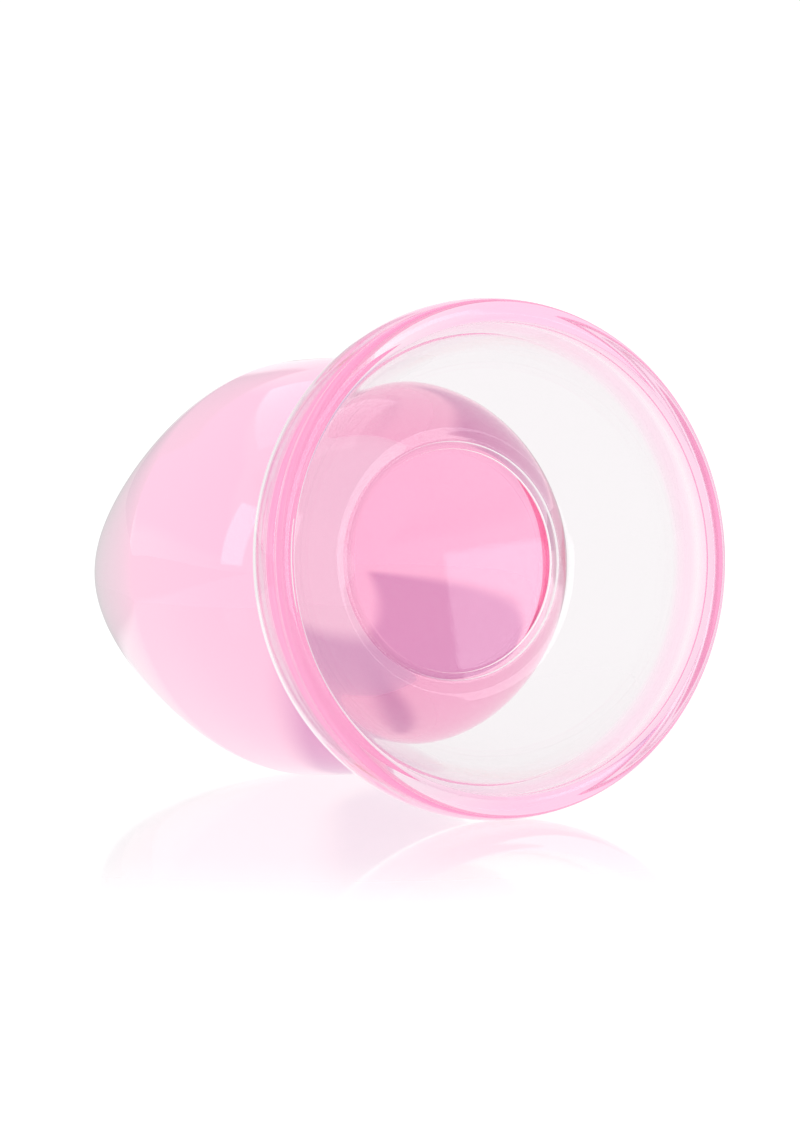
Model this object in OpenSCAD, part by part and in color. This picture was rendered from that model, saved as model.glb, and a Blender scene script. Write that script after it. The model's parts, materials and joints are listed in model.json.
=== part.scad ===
// Soft, clear, one-shot moulding: a solid egg-shaped bulb on a short neck that grows out of a wide suction
// dish. It lies on its side on the surface z = 0, with the dish facing +X and the bulb's tip towards -X.
// The dish's rim and the widest stretch of the bulb both rest on the surface, so the axis leans a little.
// The moulding is divided where its work changes: the rim seals, the web flexes, the hub is pushed, the neck
// bends and the bulb is held.
// Profiles are pairs [depth, radius]: depth runs from the plane of the rim towards the bulb's tip.

/* [Suction dish] */
// Outer diameter of the dish
dish_d = 58; // [54:0.5:66]
// Depth of the hollow, from the plane of the rim to the flat centre
dish_depth = 12; // [11:0.5:14]
// Width of the rim bead, measured along the radius
rim_w = 2.8; // [2.2:0.1:3.6]
// Height of the rim bead, measured along the axis
rim_h = 6.2; // [5.4:0.1:7]
// Rounding of the rim's outer front edge
front_round = 1.1; // [0.8:0.1:1.4]
// Rounding of the rim's inner front edge
inner_round = 0.7; // [0.5:0.1:0.8]
// Rounding of the rim's outer back edge
back_round = 1.2; // [0.8:0.1:1.6]
// Thickness of the flexing web where it meets the neck
web_t = 2.3; // [2:0.1:3]

/* [Hub and neck] */
// Diameter of the flat centre of the dish
hub_d = 25.1; // [22:0.1:25.4]
// Diameter of the outer of the two fine stairs round the flat centre
ring_d = 26.7; // [26:0.1:27]
// Height of each stair
stair_h = 0.2; // [0.2:0.05:0.4]
// Rounding of the edge of each stair
stair_round = 0.13; // [0.08:0.01:0.14]
// Diameter of the web's inner edge, where the hub begins
web_in_d = 28; // [27.6:0.2:32]
// Diameter of the neck where it leaves the dish
neck_d = 26.6; // [25:0.2:27.4]
// Length of the stretch of neck that bends
neck_len = 9.7; // [8:0.1:11]

/* [Bulb] */
// Largest diameter of the bulb
bulb_d = 48; // [44:0.5:51]
// Length from the plane of the rim to the bulb's tip
total_len = 92.7; // [84:0.1:105]
// Distance from the plane of the rim to where the bulb is widest
wide_at = 44; // [42:0.5:48]
// Fullness of the tip: the radius that the nose curve aims for at its very end
tip_fullness = 8.5; // [5:0.5:11]

/* [Resting] */
// Depth by which the soft body flattens where it rests on the surface
settle = 0.15; // [0.05:0.05:0.25]

/* [Hidden] */
$fn = 96;
tinted = [0.99, 0.80, 0.88];
thin = [0.96, 0.94, 0.95];
// Clearance where one moving body meets the next
joint_gap = 0.1;
// Rounding at the foot of each stair
stair_fillet = 0.05;
// Depth of the edge where the rim's inner face turns into the web's front
inner_edge = 2.2;

dish_r = dish_d / 2;
rim_in_r = dish_r - rim_w;
hub_r = hub_d / 2;
ring_r = ring_d / 2;
web_in_r = web_in_d / 2;
neck_r = neck_d / 2;
bulb_r = bulb_d / 2;
web_top = dish_depth - 2 * stair_h;
neck_start = web_top + web_t;
neck_end = neck_start + neck_len;

// Point at t on a cubic curve c of four control points
function on_curve(c, t) =
    pow(1 - t, 3) * c[0] + 3 * pow(1 - t, 2) * t * c[1] + 3 * (1 - t) * t * t * c[2] + t * t * t * c[3];
// Stretch of a cubic curve from t0 to t1, in n steps
function stretch(c, t0, t1, n) = [for (i = [0:n]) on_curve(c, t0 + (t1 - t0) * i / n)];
// Arc about [depth, radius], from angle a0 to a1, where angle 0 points deeper and 90 outward
function arc(depth, radius, r, a0, a1, n) =
    [for (i = [0:n]) let (a = a0 + (a1 - a0) * i / n) [depth + r * cos(a), radius + r * sin(a)]];
// Outline of one rounded stair at a radius, from a depth forward to the next level
function stair(depth, radius) = concat(
    arc(depth - stair_fillet, radius - stair_fillet, stair_fillet, 0, 90, 3),
    arc(depth - stair_h + stair_round, radius + stair_round, stair_round, 270, 180, 4)
);
// The t at which a curve reaches a depth, by halving
function t_at(c, depth, lo = 0, hi = 1, steps = 24) =
    steps == 0 ? (lo + hi) / 2
    : let (mid = (lo + hi) / 2)
      on_curve(c, mid)[0] < depth ? t_at(c, depth, mid, hi, steps - 1) : t_at(c, depth, lo, mid, steps - 1);

// Front and back of the web, from the hub out to the rim
web_front = [
    [web_top, web_in_r],
    [web_top + 0.9, rim_in_r - 4.2],
    [inner_edge + 2.4, rim_in_r - 1.2],
    [inner_edge, rim_in_r]
];
web_back = [
    [neck_start, web_in_r],
    [neck_start + 0.5, rim_in_r - 4.7],
    [rim_h + 2.4, rim_in_r - 0.8],
    [rim_h, rim_in_r]
];
// Outer face of the neck and the bulb's shoulder, from the dish to the widest point
neck_pull = 11.7;
shoulder_pull = 10.4;
shoulder = [
    [neck_start, neck_r],
    [neck_start + neck_pull, bulb_r],
    [wide_at - shoulder_pull, bulb_r],
    [wide_at, bulb_r]
];
// Outer face of the bulb's nose, from the widest point to the tip
nose_pull = 0.12 * (total_len - wide_at);
nose = [[wide_at, bulb_r], [wide_at + nose_pull, bulb_r], [total_len, tip_fullness], [total_len, 0]];
nose_steps = 40;

rim_outline = concat(
    [[inner_edge, rim_in_r]],
    arc(inner_round, rim_in_r + inner_round, inner_round, 270, 180, 6),
    arc(front_round, dish_r - front_round, front_round, 180, 90, 8),
    arc(rim_h - back_round, dish_r - back_round, back_round, 90, 0, 8),
    [[rim_h, rim_in_r]]
);
web_outline = concat(stretch(web_front, 0, 1, 14), stretch(web_back, 1, 0, 14));
hub_outline = concat(
    [[dish_depth, 0]],
    stair(dish_depth, hub_r),
    stair(dish_depth - stair_h, ring_r),
    [[web_top, web_in_r - joint_gap], [neck_start - joint_gap, web_in_r - joint_gap], [neck_start - joint_gap, 0]]
);
neck_outline = concat(
    [[neck_start, 0]],
    stretch(shoulder, 0, t_at(shoulder, neck_end), 10),
    [[neck_end, 0]]
);
bulb_outline = concat(
    [[neck_end + joint_gap, 0]],
    stretch(shoulder, t_at(shoulder, neck_end + joint_gap), 1, 16),
    stretch(nose, 1 / nose_steps, 1, nose_steps - 1)
);

// Lean at which the back corner of the rim and the bulb touch the surface together
corner = [rim_h - back_round, dish_r - back_round];
lean = min([
    for (p = bulb_outline)
        let (away = p - corner)
        if (p[0] > neck_end + 1)
            asin(back_round / norm(away)) - atan2(away[1], away[0])
]);
whole = concat(rim_outline, bulb_outline);
height = max([for (p = whole) p[0] * sin(lean) + p[1] * cos(lean)]) - settle;
reach_front = max([for (p = rim_outline) p[1] * sin(lean) - p[0] * cos(lean)]);
reach_back = max([for (p = bulb_outline) p[0] * cos(lean) + p[1] * sin(lean)]);

// Turns an outline round the axis and leans the result over the surface
module turned(outline) {
    translate([(reach_back - reach_front) / 2, 0, height])
        rotate([0, 90 - lean, 0])
            rotate_extrude()
                polygon([for (p = outline) [p[1], -p[0]]]);
}

// Flattens what would sink into the surface
module rested() {
    difference() {
        children();
        translate([-total_len, -dish_d, -dish_d])
            cube([2 * total_len, 2 * dish_d, dish_d]);
    }
}

module rim() {
    color(tinted)
        rested()
            turned(rim_outline);
}

module web() {
    color(thin)
        turned(web_outline);
}

module hub() {
    color(tinted)
        turned(hub_outline);
}

module neck() {
    color(tinted)
        turned(neck_outline);
}

module bulb() {
    color(tinted)
        rested()
            turned(bulb_outline);
}

rim();
web();
hub();
neck();
bulb();
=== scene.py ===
import json
import math

import bmesh
import bpy
import numpy as np
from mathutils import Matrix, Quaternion, Vector, noise


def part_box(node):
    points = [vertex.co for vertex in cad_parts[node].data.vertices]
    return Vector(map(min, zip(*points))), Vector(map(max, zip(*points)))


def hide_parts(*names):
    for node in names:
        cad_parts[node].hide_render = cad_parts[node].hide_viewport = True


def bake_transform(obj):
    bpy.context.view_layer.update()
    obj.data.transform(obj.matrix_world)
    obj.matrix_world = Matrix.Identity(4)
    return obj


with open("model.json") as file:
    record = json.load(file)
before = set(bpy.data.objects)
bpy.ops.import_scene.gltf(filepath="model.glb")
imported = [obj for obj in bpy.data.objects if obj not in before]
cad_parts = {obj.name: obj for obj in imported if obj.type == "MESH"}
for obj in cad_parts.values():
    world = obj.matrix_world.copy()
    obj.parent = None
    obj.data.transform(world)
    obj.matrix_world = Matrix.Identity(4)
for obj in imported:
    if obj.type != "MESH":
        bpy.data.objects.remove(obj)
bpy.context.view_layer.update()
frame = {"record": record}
scene = bpy.context.scene

MM = 0.001
SEGMENTS = 224

# ---------------------------------------------------------------- the part's own axis, from the frame
LAND = next(m for m in frame["record"]["mounts"] if m["name"] == "sealing_land")
JOINTS = {j["name"]: j for j in frame["record"]["behaviour"]["joints"]}
OUT = Vector(LAND["axis"]).normalized()
SIDE = Vector((0, 1, 0))
UP = OUT.cross(SIDE)
RIM_CENTRE = Vector((LAND["pos_m"][0], 0, LAND["pos_m"][2]))


def half_width(node):
    """Radius of a turned node, from its box across the axis."""
    low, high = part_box(node)
    return (high[1] - low[1]) / 2


def place(depth, radius=0.0, angle=0.0):
    """Point at a depth behind the rim's plane, a distance from the axis and an angle round it (0 is +Y)."""
    outward = math.cos(angle) * SIDE + math.sin(angle) * UP
    return RIM_CENTRE - OUT * float(depth) + outward * float(radius)


# ---------------------------------------------------------------- sizes, in metres
DISH_R = half_width("rim")
BULB_R = half_width("bulb")
NECK_R = 13.3 * MM
CUT_GAP = 0.02 * MM
HUB_R = 12.55 * MM
HUB_DIP = 0.3 * MM
DISH_DEPTH = 12.0 * MM
STAIR_H = 0.2 * MM
STAIR_ROUND = 0.13 * MM
STAIR_FILLET = 0.05 * MM
RING_R = 13.35 * MM
WEB_T = 2.3 * MM
RIM_W = 2.8 * MM
RIM_H = 6.2 * MM
RIM_CROWN = 0.2 * MM
FRONT_ROUND = 1.1 * MM
INNER_ROUND = 0.7 * MM
BACK_ROUND = 1.2 * MM
INNER_EDGE = 2.2 * MM
NECK_LEN = 9.7 * MM
TOTAL_LEN = 92.7 * MM
WIDE_AT = 44.0 * MM
TIP_FULLNESS = 8.5 * MM
NECK_PULL = 11.7 * MM
SHOULDER_PULL = 10.4 * MM
NOSE_PULL = 0.12 * (TOTAL_LEN - WIDE_AT)

RIM_IN_R = DISH_R - RIM_W
WEB_TOP = DISH_DEPTH - 2 * STAIR_H
NECK_START = WEB_TOP + WEB_T
NECK_END = NECK_START + NECK_LEN


# ---------------------------------------------------------------- outlines, as [depth, radius]
def curve(a, b, c, d, steps):
    """Cubic curve through a and d, pulled by b and c."""
    t = np.linspace(0, 1, steps + 1)[:, None]
    a, b, c, d = (np.array(p, float) for p in (a, b, c, d))
    return (1 - t) ** 3 * a + 3 * (1 - t) ** 2 * t * b + 3 * (1 - t) * t * t * c + t**3 * d


def arc(depth, radius, r, start, end, steps):
    """Arc about [depth, radius]; angle 0 points deeper and 90 outward."""
    a = np.radians(np.linspace(start, end, steps + 1))
    return np.stack([depth + r * np.cos(a), radius + r * np.sin(a)], 1)


def joined(*runs):
    """The runs as one outline, without the doubled points where they meet."""
    points = []
    for run in runs:
        for p in np.atleast_2d(np.array(run, float)):
            if not points or np.abs(points[-1] - p).max() > 1e-7:
                points.append(p)
    return np.array(points)


def stair(depth, radius):
    """One rounded stair at a radius, from a depth forward to the next level."""
    foot = arc(depth - STAIR_FILLET, radius - STAIR_FILLET, STAIR_FILLET, 0, 90, 5)
    edge = arc(depth - STAIR_H + STAIR_ROUND, radius + STAIR_ROUND, STAIR_ROUND, 270, 180, 6)
    return joined(foot, edge)


def dish_outline():
    """From the middle of the hub's face over the stairs, web and rim, and back to the axis behind the hub."""
    hub = joined(
        [(DISH_DEPTH + HUB_DIP * (1 - t * t), HUB_R * t) for t in np.linspace(0, 0.94, 12)],
        stair(DISH_DEPTH, HUB_R),
        stair(DISH_DEPTH - STAIR_H, RING_R),
    )
    side_r = DISH_R - RIM_CROWN
    side_h = RIM_H - FRONT_ROUND - BACK_ROUND
    crown_r = side_r + 1.33 * RIM_CROWN
    front = curve(
        (WEB_TOP, RING_R + STAIR_ROUND),
        (WEB_TOP + 0.9 * MM, RIM_IN_R - 4.2 * MM),
        (INNER_EDGE + 2.4 * MM, RIM_IN_R - 1.2 * MM),
        (INNER_EDGE, RIM_IN_R),
        34,
    )
    rim = joined(
        arc(INNER_ROUND, RIM_IN_R + INNER_ROUND, INNER_ROUND, 270, 180, 10),
        arc(FRONT_ROUND, side_r - FRONT_ROUND, FRONT_ROUND, 180, 90, 12),
        curve(
            (FRONT_ROUND, side_r),
            (FRONT_ROUND + 0.33 * side_h, crown_r),
            (RIM_H - BACK_ROUND - 0.33 * side_h, crown_r),
            (RIM_H - BACK_ROUND, side_r),
            12,
        ),
        arc(RIM_H - BACK_ROUND, side_r - BACK_ROUND, BACK_ROUND, 90, 0, 12),
    )
    back = curve(
        (RIM_H, RIM_IN_R),
        (RIM_H + 2.4 * MM, RIM_IN_R - 0.8 * MM),
        (NECK_START + 0.5 * MM, RIM_IN_R - 4.7 * MM),
        (NECK_START, NECK_R),
        34,
    )
    behind = [(NECK_START, NECK_R * t) for t in np.linspace(0.9, 0, 8)]
    return joined(hub, front, rim, back, behind)


def core_outline():
    """From the axis behind the hub, out to the neck's foot, and down the neck and bulb to the tip."""
    foot = NECK_START + CUT_GAP
    return joined(
        [(foot, NECK_R * t) for t in np.linspace(0, 0.9, 8)],
        curve(
            (foot, NECK_R),
            (NECK_START + NECK_PULL, BULB_R),
            (WIDE_AT - SHOULDER_PULL, BULB_R),
            (WIDE_AT, BULB_R),
            52,
        ),
        curve(
            (WIDE_AT, BULB_R),
            (WIDE_AT + NOSE_PULL, BULB_R),
            (TOTAL_LEN, TIP_FULLNESS),
            (TOTAL_LEN, 0),
            72,
        ),
    )


# ---------------------------------------------------------------- tint of the skin, and light and shade painted on it, by place
CLEAR = (1.0, 1.0, 1.0)
# Painted shade: the web is greyed to stand in for the dimmer surroundings seen through it.
WEB_PAINTED_SHADE = (0.875, 0.865, 0.868)
# Painted light: the rim's pink on its land, side and back stands in for light gathered along the web, not the
# rubber's own colour.
RIM_LAND_PAINTED_LIGHT = (0.995, 0.58, 0.79)
RIM_SIDE_PAINTED_LIGHT = (1.0, 0.88, 0.94)
RIM_BACK_PAINTED_LIGHT = (1.0, 0.68, 0.83)
BULB_TINT = (1.0, 0.985, 0.972)
# Painted shade: the tip's grey stands in for the grey surroundings it mirrors.
TIP_PAINTED_SHADE = (0.95, 0.945, 0.94)
TIP_FROM = TOTAL_LEN - 26 * MM
TIP_FULL = TOTAL_LEN - 16 * MM
SEAM = 0.3 * MM  # half of the width over which one colour turns into the next


def depth_and_radius(point):
    """Where a point is: how far behind the rim's plane, and how far from the axis."""
    arm = Vector(point) - RIM_CENTRE
    depth = -arm.dot(OUT)
    return depth, (arm + depth * OUT).length


def across(point):
    """How far round to +Y a point is, from -1 to 1."""
    return Vector(point).dot(SIDE) / max(depth_and_radius(point)[1], CUT_GAP)


def step(low, high, value):
    """Smooth step from 0 at low to 1 at high."""
    t = min(max((value - low) / (high - low), 0.0), 1.0)
    return t * t * (3 - 2 * t)


def between(a, b, t):
    """Colour t of the way from a to b."""
    return tuple(p + (q - p) * t for p, q in zip(a, b))


def dish_painted_light(point):
    """Painted light on the dish's skin: the rim gathers light that runs along the web, so it is painted
    deeper pink than its own thickness gives, and the web is painted light grey shade.
    """
    depth, radius = depth_and_radius(point)
    web = between(CLEAR, WEB_PAINTED_SHADE, step(HUB_R, RING_R, radius))
    share = 1 - 0.9 * step(0.1, -0.9, across(point))  # painted light: the -Y side of the rim stays nearly clear, the +Y side takes the painted pink
    on_rim = share * step(RIM_IN_R - SEAM, RIM_IN_R + SEAM, radius)
    front = step(FRONT_ROUND + SEAM, FRONT_ROUND - SEAM, depth)
    behind = step(RIM_H - 1.0 * MM, RIM_H - 0.2 * MM, depth)
    side = step(DISH_R - 1.0 * MM, DISH_R - 0.5 * MM, radius)
    tint_and_light = between(web, between(CLEAR, RIM_SIDE_PAINTED_LIGHT, share), side)
    tint_and_light = between(tint_and_light, RIM_LAND_PAINTED_LIGHT, on_rim * front)
    return between(tint_and_light, RIM_BACK_PAINTED_LIGHT, on_rim * behind)


def core_tint_and_tip_shade(point):
    """Pink through its depth, with a slightly warm skin on the bulb and slightly grey painted shade on its
    tip, where it mirrors grey surroundings.
    """
    depth, _ = depth_and_radius(point)
    bulb = between(CLEAR, BULB_TINT, step(NECK_START, NECK_END, depth))
    return between(bulb, TIP_PAINTED_SHADE, step(TIP_FROM, TIP_FULL, depth))


# ---------------------------------------------------------------- mesh
SHARP = math.radians(38)
LONG_WAVE = 55  # per metre
SHORT_WAVE = 140
SHORT_SHIFT = Vector((7, 3, 1))
FACE_FROM = DISH_DEPTH + 0.7 * MM  # behind the hub's face
FACE_TO = DISH_DEPTH + 0.1 * MM


def uneven(point, normal, depth_of_wave):
    """The point moved by a moulding's slow waviness: less on the hub's face, none where the pieces meet."""
    slow = noise.noise(point * LONG_WAVE) * 0.8 + noise.noise(point * SHORT_WAVE + SHORT_SHIFT) * 0.2
    depth, radius = depth_and_radius(point)
    flat = 1 - 0.85 * step(FACE_FROM, FACE_TO, depth) * step(HUB_R + 1 * MM, HUB_R - 1 * MM, radius)
    met = step(0.1 * MM, 1.2 * MM, abs(depth - NECK_START)) if radius < NECK_R + 1 * MM else 1
    return point + normal * (slow * depth_of_wave * flat * met)


def turned(name, outline, wave, tint_and_light):
    """Turns an outline that starts and ends on the part's axis round it."""
    bm = bmesh.new()
    rings = []
    for depth, radius in outline:
        count = 1 if radius < 1e-6 else SEGMENTS
        angles = [2 * math.pi * i / SEGMENTS for i in range(count)]
        rings.append([bm.verts.new(place(depth, radius, angle)) for angle in angles])
    for a, b in zip(rings, rings[1:]):
        for i in range(SEGMENTS):
            j = (i + 1) % SEGMENTS
            corners = [a[i % len(a)], b[i % len(b)], b[j % len(b)], a[j % len(a)]]
            bm.faces.new(list(dict.fromkeys(corners)))
    bmesh.ops.recalc_face_normals(bm, faces=bm.faces)
    bm.normal_update()
    moved = [uneven(v.co, v.normal, wave) for v in bm.verts]
    for v, co in zip(bm.verts, moved):
        v.co = Vector((co.x, co.y, max(co.z, 0.0)))
    bm.normal_update()
    for f in bm.faces:
        f.smooth = True
    for e in bm.edges:
        e.smooth = e.calc_face_angle(0) < SHARP
    mesh = bpy.data.meshes.new(name)
    bm.to_mesh(mesh)
    bm.free()
    # Per point: the bulb's own tint, and the painted light on the rim and painted shade on the web and tip.
    tint_and_light_layer = mesh.attributes.new("skin_tint_and_painted_light", "FLOAT_COLOR", "POINT")
    for v, value in zip(mesh.vertices, tint_and_light_layer.data):
        value.color = (*tint_and_light(v.co), 1)
    obj = bpy.data.objects.new(name, mesh)
    scene.collection.objects.link(obj)
    return obj


# ---------------------------------------------------------------- material
ABSORB = (0.1, 10.0, 5.0)  # per metre, in red, green and blue
ELASTOMER_IOR = 1.45
MOST_ROUGH = 0.02


def tools_for(tree):
    """Empties a node tree, and gives a function that adds a node to it and one that links two."""
    tree.nodes.clear()

    def add(kind, **values):
        node = tree.nodes.new(kind)
        for key, value in values.items():
            if hasattr(node, key):
                setattr(node, key, value)
            else:
                node.inputs[key.replace("_", " ")].default_value = value
        return node

    return add, tree.links.new


def new_material(name):
    """A new empty node material, with the two functions for its tree."""
    mat = bpy.data.materials.new(name)
    mat.use_nodes = True
    return mat, *tools_for(mat.node_tree)


def elastomer():
    """Clear elastomer, tinted through its depth, with a faint skin of ripples and a slightly uneven gloss."""
    mat, add, link = new_material("clear_pink_elastomer")
    out = add("ShaderNodeOutputMaterial")
    body = add("ShaderNodeBsdfPrincipled", IOR=ELASTOMER_IOR)
    body.inputs["Transmission Weight"].default_value = 1.0
    # Base colour from the skin: the bulb's own tint plus the painted light and shade of the rim, web and tip.
    tint_and_light_layer = add("ShaderNodeAttribute", attribute_name="skin_tint_and_painted_light")
    link(tint_and_light_layer.outputs["Color"], body.inputs["Base Color"])
    where = add("ShaderNodeTexCoord")
    ripple = add("ShaderNodeTexNoise", Scale=260.0, Detail=2.0)
    bump = add("ShaderNodeBump", Strength=0.02, Distance=0.0001)
    gloss_noise = add("ShaderNodeTexNoise", Scale=420.0, Detail=4.0)
    gloss = add("ShaderNodeMapRange")
    gloss.inputs["To Min"].default_value = 0.0
    gloss.inputs["To Max"].default_value = MOST_ROUGH
    link(where.outputs["Object"], ripple.inputs["Vector"])
    link(where.outputs["Object"], gloss_noise.inputs["Vector"])
    link(ripple.outputs["Fac"], bump.inputs["Height"])
    link(bump.outputs["Normal"], body.inputs["Normal"])
    link(gloss_noise.outputs["Fac"], gloss.inputs["Value"])
    link(gloss.outputs["Result"], body.inputs["Roughness"])
    depth = add("ShaderNodeVolumeAbsorption")
    most = max(ABSORB)
    depth.inputs["Color"].default_value = (*[1 - a / most for a in ABSORB], 1)
    depth.inputs["Density"].default_value = most
    link(body.outputs["BSDF"], out.inputs["Surface"])
    link(depth.outputs["Volume"], out.inputs["Volume"])
    return mat


# ---------------------------------------------------------------- pieces
def fold_ring_by_ring(piece):
    """Bakes the piece's placement into its mesh."""
    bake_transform(piece)


ELASTOMER = elastomer()

dish = turned("suction_dish", dish_outline(), wave=0.03 * MM, tint_and_light=dish_painted_light)
dish.data.materials.append(ELASTOMER)
fold_ring_by_ring(dish)
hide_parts("rim", "web", "hub")

core = turned("neck_and_bulb", core_outline(), wave=0.05 * MM, tint_and_light=core_tint_and_tip_shade)
core.data.materials.append(ELASTOMER)
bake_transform(core)
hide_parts("neck", "bulb")


# ---------------------------------------------------------------- floor
SHEET_HALF = 1.6
SHEET_DROP = 0.02 * MM
SHEET_WHITE = 0.11
SHEET_GLOW = 0.96
CARD_FROM = -70 * MM  # a grey card lies on the sheet on the tip's side, and only reflections show it
CARD_FULL = -95 * MM
CARD_SHADE = 0.45
POLISH = 1.05  # the polish fades with distance from the part
POLISH_FROM = 60 * MM
POLISH_TO = 118 * MM
POLISH_IOR = 1.25


def floor():
    """Pale glossy sheet, lit from under, that the part rests on."""
    corners = [(SHEET_HALF * x, SHEET_HALF * y, 0) for x, y in ((-1, -1), (1, -1), (1, 1), (-1, 1))]
    mesh = bpy.data.meshes.new("floor")
    mesh.from_pydata(corners, [], [(0, 1, 2, 3)])
    obj = bpy.data.objects.new("floor", mesh)
    scene.collection.objects.link(obj)
    mat, add, link = new_material("pale_sheet")
    out = add("ShaderNodeOutputMaterial")
    lit = add("ShaderNodeEmission")
    chalk = add("ShaderNodeBsdfDiffuse")
    chalk.inputs["Color"].default_value = (SHEET_WHITE, SHEET_WHITE, SHEET_WHITE, 1)
    gloss = add("ShaderNodeBsdfGlossy", Roughness=0.06)
    gloss.inputs["Color"].default_value = (1, 1, 1, 1)
    where = add("ShaderNodeTexCoord")
    away = add("ShaderNodeVectorMath", operation="LENGTH")
    fade = add("ShaderNodeMapRange", interpolation_type="SMOOTHSTEP")
    fade.inputs["From Min"].default_value = POLISH_FROM
    fade.inputs["From Max"].default_value = POLISH_TO
    fade.inputs["To Min"].default_value = POLISH
    fade.inputs["To Max"].default_value = 0.0
    grazing = add("ShaderNodeFresnel", IOR=POLISH_IOR)
    share = add("ShaderNodeMath", operation="MULTIPLY")
    body = add("ShaderNodeAddShader")
    sheet = add("ShaderNodeMixShader")
    path = add("ShaderNodeLightPath")
    apart = add("ShaderNodeSeparateXYZ")
    card = add("ShaderNodeMapRange", interpolation_type="SMOOTHSTEP")
    card.inputs["From Min"].default_value = CARD_FULL
    card.inputs["From Max"].default_value = CARD_FROM
    card.inputs["To Min"].default_value = -CARD_SHADE
    card.inputs["To Max"].default_value = 0.0
    glow = add("ShaderNodeMath", operation="MULTIPLY_ADD")
    glow.inputs[2].default_value = SHEET_GLOW
    link(where.outputs["Object"], apart.inputs[0])
    link(apart.outputs["X"], card.inputs["Value"])
    link(card.outputs["Result"], glow.inputs[0])
    link(path.outputs["Is Reflection Ray"], glow.inputs[1])
    link(glow.outputs["Value"], lit.inputs["Strength"])
    link(where.outputs["Object"], away.inputs[0])
    link(away.outputs["Value"], fade.inputs["Value"])
    link(lit.outputs[0], body.inputs[0])
    link(chalk.outputs[0], body.inputs[1])
    link(fade.outputs["Result"], share.inputs[0])
    link(grazing.outputs["Fac"], share.inputs[1])
    link(share.outputs["Value"], sheet.inputs["Fac"])
    link(body.outputs[0], sheet.inputs[1])
    link(gloss.outputs[0], sheet.inputs[2])
    link(sheet.outputs[0], out.inputs["Surface"])
    mesh.materials.append(mat)
    obj.location.z = -SHEET_DROP


floor()


# ---------------------------------------------------------------- light
LILAC = (0.74, 0.58, 0.77)
COOL_WHITE = (0.98, 0.96, 1.0)
WHITE = (1.06, 1.06, 1.06)
# Panels of the tent, in degrees; every ray sees them
SIDES = (
    dict(azimuth=-60, height=25, wide=98, tall=38, colour=LILAC, edge=6),
    dict(azimuth=21.3, height=36.1, wide=80, tall=120, roll=6, colour=WHITE, edge=5),
    dict(azimuth=-143, height=20, wide=72, tall=120, colour=WHITE, edge=12),
)
# Glow, panel, and whether rays that have passed deep through the part miss it; only reflections show them.
# The last one is the grey card that stands on the tip's side.
SOFTBOXES = (
    (1.8, dict(azimuth=-85, height=58, wide=45, tall=30, roll=30), False),
    (3.8, dict(azimuth=-14, height=16, wide=12, tall=28), True),
    (3.6, dict(azimuth=116.2, height=9.5, wide=6.8, tall=8, edge=0.4), False),
    (0.55, dict(azimuth=-96.5, height=0, wide=31, tall=50, edge=3), True),
)
DEEP = 2.5  # between two and three passes through a surface
NEARLY_BESIDE = 0.001  # a panel never shows behind its own plane
# The Mix node's sockets for its two colours, and for the mixed one
COLOUR_A = 6
COLOUR_B = 7
COLOUR_OUT = 2


def toward(azimuth, height):
    """Unit direction: azimuth 0 is -Y and grows towards +X, height is above the horizon, both in degrees."""
    a, h = math.radians(azimuth), math.radians(height)
    return Vector((math.sin(a) * math.cos(h), -math.cos(a) * math.cos(h), math.sin(h)))


def panel(add, link, before, azimuth, height, wide, tall, colour, edge=2.0, roll=0.0):
    """Far rectangular panel over what is before it; its width, height and soft edge are in degrees."""
    centre = toward(azimuth, height)
    sideways = Vector((0, 0, 1)).cross(centre).normalized()
    upward = centre.cross(sideways)
    turn = Quaternion(centre, math.radians(roll))
    where = add("ShaderNodeTexCoord")
    dots = []
    for axis in (turn @ sideways, turn @ upward, centre):
        dot = add("ShaderNodeVectorMath", operation="DOT_PRODUCT")
        dot.inputs[1].default_value = axis
        link(where.outputs["Generated"], dot.inputs[0])
        dots.append(dot)
    front = add("ShaderNodeMath", operation="MAXIMUM")
    front.inputs[1].default_value = NEARLY_BESIDE
    link(dots[2].outputs["Value"], front.inputs[0])
    cover = None
    for dot, size in zip(dots, (wide, tall)):
        ratio = add("ShaderNodeMath", operation="DIVIDE")
        link(dot.outputs["Value"], ratio.inputs[0])
        link(front.outputs["Value"], ratio.inputs[1])
        span = add("ShaderNodeMath", operation="ABSOLUTE")
        link(ratio.outputs["Value"], span.inputs[0])
        inside = add("ShaderNodeMapRange", interpolation_type="SMOOTHSTEP")
        inside.inputs["From Min"].default_value = math.tan(math.radians(size / 2 + edge / 2))
        inside.inputs["From Max"].default_value = math.tan(math.radians(max(size / 2 - edge / 2, 0)))
        link(span.outputs["Value"], inside.inputs["Value"])
        if cover is None:
            cover = inside.outputs["Result"]
        else:
            both = add("ShaderNodeMath", operation="MULTIPLY")
            link(cover, both.inputs[0])
            link(inside.outputs["Result"], both.inputs[1])
            cover = both.outputs["Value"]
    mix = add("ShaderNodeMix", data_type="RGBA")
    link(cover, mix.inputs["Factor"])
    link(before, mix.inputs[COLOUR_A])
    mix.inputs[COLOUR_B].default_value = (*colour, 1)
    return mix.outputs[COLOUR_OUT]


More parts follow.
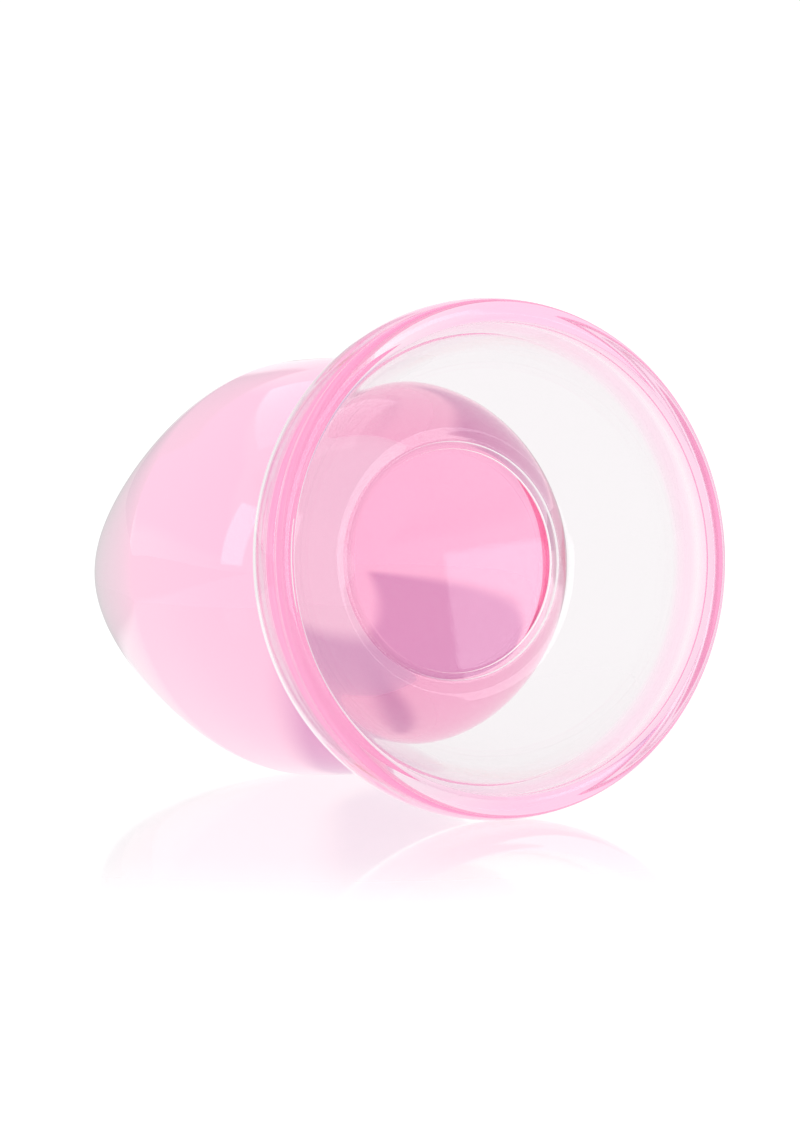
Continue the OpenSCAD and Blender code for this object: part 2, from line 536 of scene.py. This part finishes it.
def studio():
    """White tent with a lilac side, and the softboxes and the grey card that the part mirrors."""
    world = bpy.data.worlds.new("studio")
    world.use_nodes = True
    scene.world = world
    add, link = tools_for(world.node_tree)
    out = add("ShaderNodeOutputWorld")
    sky = add("ShaderNodeBackground", Strength=1.0)
    white = add("ShaderNodeRGB")
    white.outputs[0].default_value = (*WHITE, 1)
    through = white.outputs[0]
    for shape in SIDES:
        through = panel(add, link, through, **shape)
    path = add("ShaderNodeLightPath")
    deep = add("ShaderNodeMath", operation="GREATER_THAN")
    deep.inputs[1].default_value = DEEP
    link(path.outputs["Transmission Depth"], deep.inputs[0])
    near = far = through
    for glow, shape, near_only in SOFTBOXES:
        colour = [glow * c for c in COOL_WHITE]
        near = panel(add, link, near, **shape, colour=colour)
        if not near_only:
            far = panel(add, link, far, **shape, colour=colour)
    by_depth = add("ShaderNodeMix", data_type="RGBA")
    link(deep.outputs["Value"], by_depth.inputs["Factor"])
    link(near, by_depth.inputs[COLOUR_A])
    link(far, by_depth.inputs[COLOUR_B])
    pick = add("ShaderNodeMix", data_type="RGBA")
    link(path.outputs["Is Transmission Ray"], pick.inputs["Factor"])
    link(by_depth.outputs[COLOUR_OUT], pick.inputs[COLOUR_A])
    link(through, pick.inputs[COLOUR_B])
    link(pick.outputs[COLOUR_OUT], sky.inputs["Color"])
    link(sky.outputs[0], out.inputs["Surface"])


studio()

# ---------------------------------------------------------------- camera
VIEW_SIDE = math.radians(29.78)  # how far the view turns from the dish's axis, seen from above
VIEW_HEIGHT = math.radians(6.8)
DISTANCE = 0.9
SENSOR = 36.0  # as is the lens, in millimetres
LENS = 258.74
RIM_FROM_CENTRE = (0.01168, 0.00086)  # where the rim's centre sits from the picture's centre, in metres there

back = Vector(
    (
        math.cos(VIEW_SIDE) * math.cos(VIEW_HEIGHT),
        -math.sin(VIEW_SIDE) * math.cos(VIEW_HEIGHT),
        math.sin(VIEW_HEIGHT),
    )
)
right = Vector((0, 0, 1)).cross(back).normalized()
above = back.cross(right)
eye = RIM_CENTRE + back * DISTANCE
aim = RIM_CENTRE - right * RIM_FROM_CENTRE[0] - above * RIM_FROM_CENTRE[1]
camera = bpy.data.objects.new("camera", bpy.data.cameras.new("camera"))
camera.data.sensor_width = SENSOR
camera.data.lens = LENS
camera.data.clip_start = 0.02
camera.location = eye
camera.rotation_mode = "QUATERNION"
camera.rotation_quaternion = (aim - eye).to_track_quat("-Z", "Y")
scene.collection.objects.link(camera)
scene.camera = camera

scene.view_settings.view_transform = "Standard"
# Light runs round inside the rim and the tip many times before it leaves them
BOUNCES = 96
scene.cycles.max_bounces = BOUNCES
scene.cycles.transmission_bounces = BOUNCES
scene.cycles.glossy_bounces = BOUNCES
scene.cycles.sampling_pattern = "TABULATED_SOBOL"
